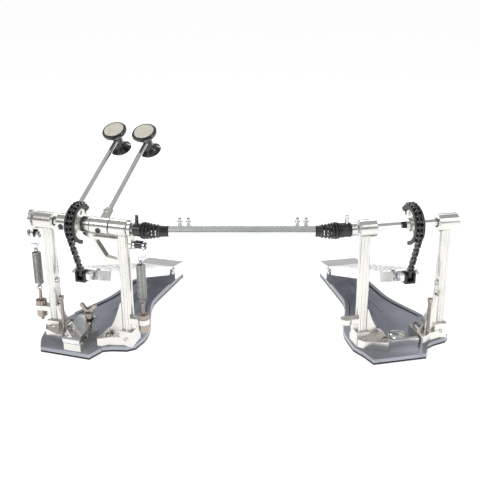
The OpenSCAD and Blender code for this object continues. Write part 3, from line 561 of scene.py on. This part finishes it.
def boots(mats):
    """Rubber bellows over the two universal joints, bent from the coupler's line to the shaft's."""
    reach, r_low, r_high = 13.5, 10.1, 12.6
    for name, x0, turn, tail, flip in (("main_boot", SHAFT_X0, MAIN_TURN, 25.0, 1),
            ("remote_boot", SHAFT_X1, REMOTE_TURN, 19.0, -1)):
        verts, faces, seg = [], [], 64
        profile = [(-reach, 9.9), (-reach, 11.4), (-reach + 1.0, 11.9), (-reach + 2.0, 11.4)]
        ribs, span = 5, 2 * reach - 3.5
        for k in range(ribs):
            s0 = -reach + 2.0 + span * k / ribs
            w = span / ribs
            fall = 1.0 - 0.05 * k
            for f, h in ((0.08, 0.0), (0.28, 0.75), (0.45, 1.0), (0.6, 1.0), (0.78, 0.7), (0.95, 0.0)):
                profile.append((s0 + f * w, (r_low + (r_high - r_low) * h) * fall if h else r_low * fall))
        profile += [(reach - 1.4, 9.2), (reach - 0.9, 8.6), (reach, 8.2), (tail - 1.4, 7.8),
            (tail - 1.0, 8.4), (tail - 0.3, 8.4), (tail, 7.9), (tail, 6.7)]
        for s, r in profile:
            t = min(1.0, max(0.0, (s + reach) / (2 * reach)))
            bend = turn * (1 - t * t * (3 - 2 * t))
            centre = Vector((s * math.cos(turn), -s * math.sin(turn), 0)) if s < 0 else Vector((s, 0, 0))
            centre.y += 0.18 * turn * (reach - abs(s)) if abs(s) < reach else 0
            for i in range(seg):
                a = 2 * math.pi * i / seg
                p = Vector((0, r * math.cos(a), r * math.sin(a)))
                p = centre + Matrix.Rotation(-bend, 3, "Z") @ p
                verts.append((x0 + flip * p.x, p.y, p.z))
        for r in range(len(profile) - 1):
            for i in range(seg):
                j = (i + 1) % seg
                faces.append((r * seg + i, r * seg + j, (r + 1) * seg + j, (r + 1) * seg + i))
        o = piece(name, verts, faces, mats["boot_rubber"], "frame", "boot_rubber", SHAFT, angle=50)
        if flip == 1:
            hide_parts("rubber_boots")


def remote_collar(mats):
    """The boot's black collar on the remote coupler, which turns with the axle."""
    build = Build()
    profile = [(9.45, -105.2), (10.1, -105.2), (10.5, -104.6), (10.5, -98.8), (10.2, -98.4), (10.2, -91.0),
        (10.6, -90.5), (10.6, -89.0), (10.1, -88.5), (9.45, -88.5)]
    build.lathe(profile, shift(0, 0, AXLE_H) @ spin("Y", 90), 64)
    build.finish("remote_boot_collar", mats["boot_rubber"], "remote_axle", "boot_rubber", REMOTE)


def wrap_pin(k):
    d = math.hypot(TOE[0], TOE[1] - AXLE_H)
    tangent = math.atan2(TOE[1] - AXLE_H, TOE[0]) - math.acos(CAM_R / d)
    a = tangent - 2 * math.asin(PITCH / 2 / CAM_R) * k
    return (CAM_R * math.cos(a), AXLE_H + CAM_R * math.sin(a))


def run_pin(k):
    a = wrap_pin(0)
    return (a[0] + (TOE[0] - a[0]) * k / 9, a[1] + (TOE[1] - a[1]) * k / 9)


def chain_pins(mats):
    """Bright riveted ends on every pin of both chains."""
    for unit in ("main", "remote"):
        groups = {
            "_axle": [wrap_pin(k) for k in range(4, 11)],
            "_chain_link_a": [wrap_pin(2), wrap_pin(3)],
            "_chain_run": [wrap_pin(0), wrap_pin(1)] + [run_pin(k) for k in range(1, 9)],
        }
        for body, pins in groups.items():
            build = Build()
            for y, z in pins:
                for side in (-1, 1):
                    place = shift(OFFSET[unit], y, z) @ spin("Y", 90 * side) @ shift(0, 0, 4.5)
                    build.lathe([(1.25, -0.1), (1.25, 0.2), (0.95, 0.42), (0.5, 0.5), (0.35, 0.34),
                        (0, 0.34)], place, 20)
            build.finish(unit + body + "_rivets", mats["chrome"], unit + body, "chrome", UNIT[unit])


def shaft_screws(mats):
    build = Build()
    for x in (146.0, 158.0, 311.0, 323.0):
        key_screw(build, shift(x, 0, 8.9), 5.0)
    build.finish("shaft_key_screws", mats["satin_steel"], "shaft", "satin_steel", SHAFT)


def cap_rings(mats):
    """Turned end caps on the bearing housings."""
    for unit, spans in (("main", (-76.0, 73.0)), ("remote", (-75.0, 75.0))):
        build = Build()
        for u in spans:
            side = -1 if u < 0 else 1
            place = shift(u, 0, AXLE_H) @ spin("Y", 90 * side)
            build.lathe([(12.2, -0.2), (12.2, 0.9), (11.6, 1.5), (10.4, 1.5), (10.0, 0.8), (8.2, 0.8),
                (7.8, 1.3), (6.2, 1.3), (5.8, 0.6), (5.2, 0.6), (5.2, -0.2)], place, 64)
        build.finish(unit + "_bearing_caps", mats["satin_steel"], "frame", "satin_steel", UNIT[unit])


def threads(mats):
    """Threads on the spring eyebolts and the height screws."""
    build = Build()

    def thread(x, y, z0, z1, r):
        profile, z = [(r - 0.05, z0)], z0
        while z < z1 - 0.8:
            profile += [(r - 0.05, z + 0.1), (r + 0.28, z + 0.4), (r - 0.05, z + 0.7)]
            z += 0.8
        build.lathe(profile + [(r - 0.05, z1)], shift(x, y, 0), 24)

    for u in (-84.0, 91.0):
        thread(u, 0, 59.5, 74.0, 2.25)
        thread(u, 0, 26.2, 29.8, 2.25)
    thread(-37, -15, 22.5, 71.5, 2.35)
    build.finish("main_threads", mats["nickel_screws"], "frame", "nickel_screws", MAIN, angle=80)
    build = Build()
    thread(37, -15, 22.5, 71.5, 2.35)
    build.finish("remote_threads", mats["nickel_screws"], "frame", "nickel_screws", REMOTE, angle=80)


def board_frame(unit):
    return shift(OFFSET[unit], HINGE[0], HINGE[1]) @ Matrix.Rotation(-BOARD_SLOPE, 4, "X")


def footboard_grip(mats):
    """Raised grip bars, grip buttons and toe screws on both footboards."""
    for unit in ("main", "remote"):
        place = board_frame(unit)
        mat = mats["board_aluminium_" + unit]
        bars = Build()
        for x in (-27.0, 27.0):
            outline = [(x - 1.5, -14), (x + 1.5, -14), (x + 1.5, -224), (x - 1.5, -224)]
            bars.prism([(a, b) for a, b in outline][::-1], -0.2, 0.9, place, 0.4)
        for row in range(15):
            for col in range(-3, 4):
                x = col * 6.4 + (3.2 if row % 2 else 0)
                if abs(x) < 22:
                    bars.lathe([(1.9, -0.2), (1.9, 0.5), (1.4, 0.9), (0, 0.9)],
                        place @ shift(x, -30 - row * 13, 0), 16)
        bars.finish(unit + "_grip", mat, unit + "_footboard", "board_aluminium", UNIT[unit])
        screws = Build()
        for x in (-14.0, 14.0):
            socket_screw(screws, place @ shift(x, -238, 0), 3.0, 1.6)
        screws.finish(unit + "_toe_screws", mats["nickel_screws"], unit + "_footboard", "nickel_screws",
            UNIT[unit])


def board_sides(mats):
    """Seams along the footboard's sides and across its heel."""
    for unit in ("main", "remote"):
        place = board_frame(unit)
        seams = Build()
        for side in (-1, 1):
            lo, hi = sorted((side * 33.9, side * 34.15))
            seams.prism([(lo, -14), (hi, -14), (hi, -232), (lo, -232)][::-1], -4.6, -4.1, place)
        seams.prism([(-24, -9.6), (24, -9.6), (24, -11.0), (-24, -11.0)][::-1], -0.1, 0.06, place)
        seams.finish(unit + "_board_seams", mats["satin_steel"], unit + "_footboard", "satin_steel",
            UNIT[unit], angle=30)


def collar_screws(mats):
    """Set screws in the hubs, feet and posts, and the nub on each post's inner side."""
    for unit, posts in (("main", ((-58.0, 1), (66.0, -1))), ("remote", ((-65.0, 1), (60.0, -1)))):
        build = Build()
        for u, side in posts:
            socket_screw(build, shift(u, 8.3, 168) @ spin("X", -90), 2.6, 1.2)
            socket_screw(build, shift(u, -12.4, 20) @ spin("X", 90), 3.2, 1.8)
            build.lathe([(4.2, -1), (4.2, 3.4), (3.4, 4.6), (1.8, 5.0), (0, 5.0)],
                shift(u + side * 4.4, 0, 96) @ spin("Y", 90 * side), 32)
        build.finish(unit + "_post_screws", mats["satin_steel"], "frame", "satin_steel", UNIT[unit])
    for body, u in (("main_axle", -29.0), ("relay_axle", 32.0)):
        build = Build()
        socket_screw(build, shift(u, 0, AXLE_H) @ spin("X", 105) @ shift(0, 0, 12.7), 4.3, 1.2)
        build.finish(body + "_hub_screw", mats["black_steel"], body, "black_steel", MAIN)


def rocker_bushes(mats):
    """Black bushes on the pins that the spring stirrups hang from."""
    for body, u, spans in (("main_axle", -84.0, ((-5.8, -2.8), (2.8, 5.8))),
            ("relay_axle", 91.0, ((-5.6, 5.6),))):
        build = Build()
        for a, b in spans:
            place = shift(u, 0, AXLE_H - 22) @ spin("Y", 90)
            build.lathe([(2.5, a), (5.4, a), (6.0, a + 0.6), (6.0, b - 0.6), (5.4, b), (2.5, b)], place, 40)
        build.lathe([(0, 8.6), (3.2, 8.6), (3.9, 9.0), (3.9, 10.4), (3.4, 10.9), (0, 10.95)],
            shift(u, 0, AXLE_H - 22) @ spin("Y", -90 if u < 0 else 90), 32)
        build.finish(body + "_pin_bushes", mats["black_plastic"], body, "black_plastic", MAIN)


def toe_brackets(mats):
    """Bright lugs on each side of the black toe block."""
    for unit in ("main", "remote"):
        build = Build()
        for side in (-1, 1):
            outline = [(-7.0, 105.5), (-5.5, 104.0), (5.0, 104.0), (6.5, 107.0), (8.0, 113.0), (6.0, 116.5),
                (-4.5, 117.0), (-7.0, 114.5)]
            lo, hi = sorted((side * 8.5, side * 14.5))
            place = shift(OFFSET[unit], 0, 0) @ Matrix(((0, 0, 1, 0), (1, 0, 0, 0), (0, 1, 0, 0),
                (0, 0, 0, 1)))
            build.prism(outline, lo, hi, place)
            build.lathe([(2.6, 0), (2.6, 1.6), (2.0, 2.2), (0, 2.2)],
                shift(OFFSET[unit] + side * 14.5, TOE[0], TOE[1]) @ spin("Y", 90 * side), 24)
        build.finish(unit + "_toe_lugs", mats["board_aluminium_" + unit], unit + "_footboard",
            "board_aluminium", UNIT[unit], angle=30)


def smooth(t):
    t = max(0.0, min(1.0, t))
    return t * t * (3 - 2 * t)


def edge_x(y, side, off):
    flare = smooth((y - 20) / 148)
    taper = 4 * max(0.0, min(1.0, (y - 168) / 132))
    if side > 0:
        return 79 + (off + 38 - 79) * flare - taper
    return -77 + (off - 38 + 77) * flare + taper


def paint_groove_shade(mats):
    """Black strips beside the plate's raised edges: painted shade that stands in for the shaded groove there.
    """
    for unit in ("main", "remote"):
        off = OFFSET[unit]
        build = Build()
        for side in (-1, 1):
            ys = [70 + 156 * i / 40 for i in range(41)]
            verts, faces = [], []
            for y in ys:
                x = edge_x(y, side, off)
                for inset, z in ((7.2, 8.0), (7.2, 8.12), (9.0, 8.12), (9.0, 8.0)):
                    verts.append((x - side * inset, y, z))
            for i in range(len(ys) - 1):
                for k in range(3):
                    faces.append((4 * i + k, 4 * i + k + 1, 4 * i + 5 + k, 4 * i + 4 + k))
            build.add(verts, faces)
        # Painted shade: these flat black strips stand in for the shade in the groove beside each raised edge.
        build.finish(unit + "_plate_seams", mats["sole_rubber"], "frame", "sole_rubber", UNIT[unit])


def cross_bars(mats):
    """The dark bar and pale boss between the two feet at the front."""
    build = Build()
    build.prism([(-26, -24), (19.5, -24), (19.5, -17), (-26, -17)], 8.0, 19.0, None, 1.2)
    build.finish("remote_front_bar", mats["satin_steel"], "frame", "satin_steel", REMOTE, angle=30)
    build = Build()
    build.lathe([(15, 8.0), (15, 12), (14, 15), (11, 17.5), (6, 18.6), (0, 19)], shift(-4, 2, 0), 48)
    build.finish("remote_front_boss", mats["cast_aluminium"], "frame", "cast_aluminium", REMOTE)


def dress(mats):
    """Gives every CAD node the material of its slot."""
    for name, o in NODES.items():
        slot = SLOT_OF[name]
        if slot in ("plate_aluminium", "board_aluminium"):
            unit = "remote" if name.startswith("remote") else "main"
            mat = mats[("plate_" if slot.startswith("plate") else slot + "_") + unit]
        else:
            mat = mats[slot]
        for s in o.material_slots:
            s.material = mat
        if not o.material_slots:
            o.data.materials.append(mat)


make_camera()
make_world()
make_floor()
area_light("key", (-1.2, -1.6, 1.9), (0.2, 0.0, 0.1), (1.2, 0.8), 15)
area_light("fill", (1.9, -1.0, 1.3), (0.25, 0.0, 0.15), (0.6, 1.4), 6)
area_light("back", (0.2, 1.6, 1.7), (0.25, 0.1, 0.1), (2.0, 0.5), 12)
bpy.context.scene.view_settings.view_transform = "Standard"

mats = make_materials()
dress(mats)
springs(mats)
felts(mats)
boots(mats)
remote_collar(mats)
chain_pins(mats)
shaft_screws(mats)
cap_rings(mats)
threads(mats)
footboard_grip(mats)
board_sides(mats)
collar_screws(mats)
rocker_bushes(mats)
toe_brackets(mats)
paint_groove_shade(mats)
cross_bars(mats)
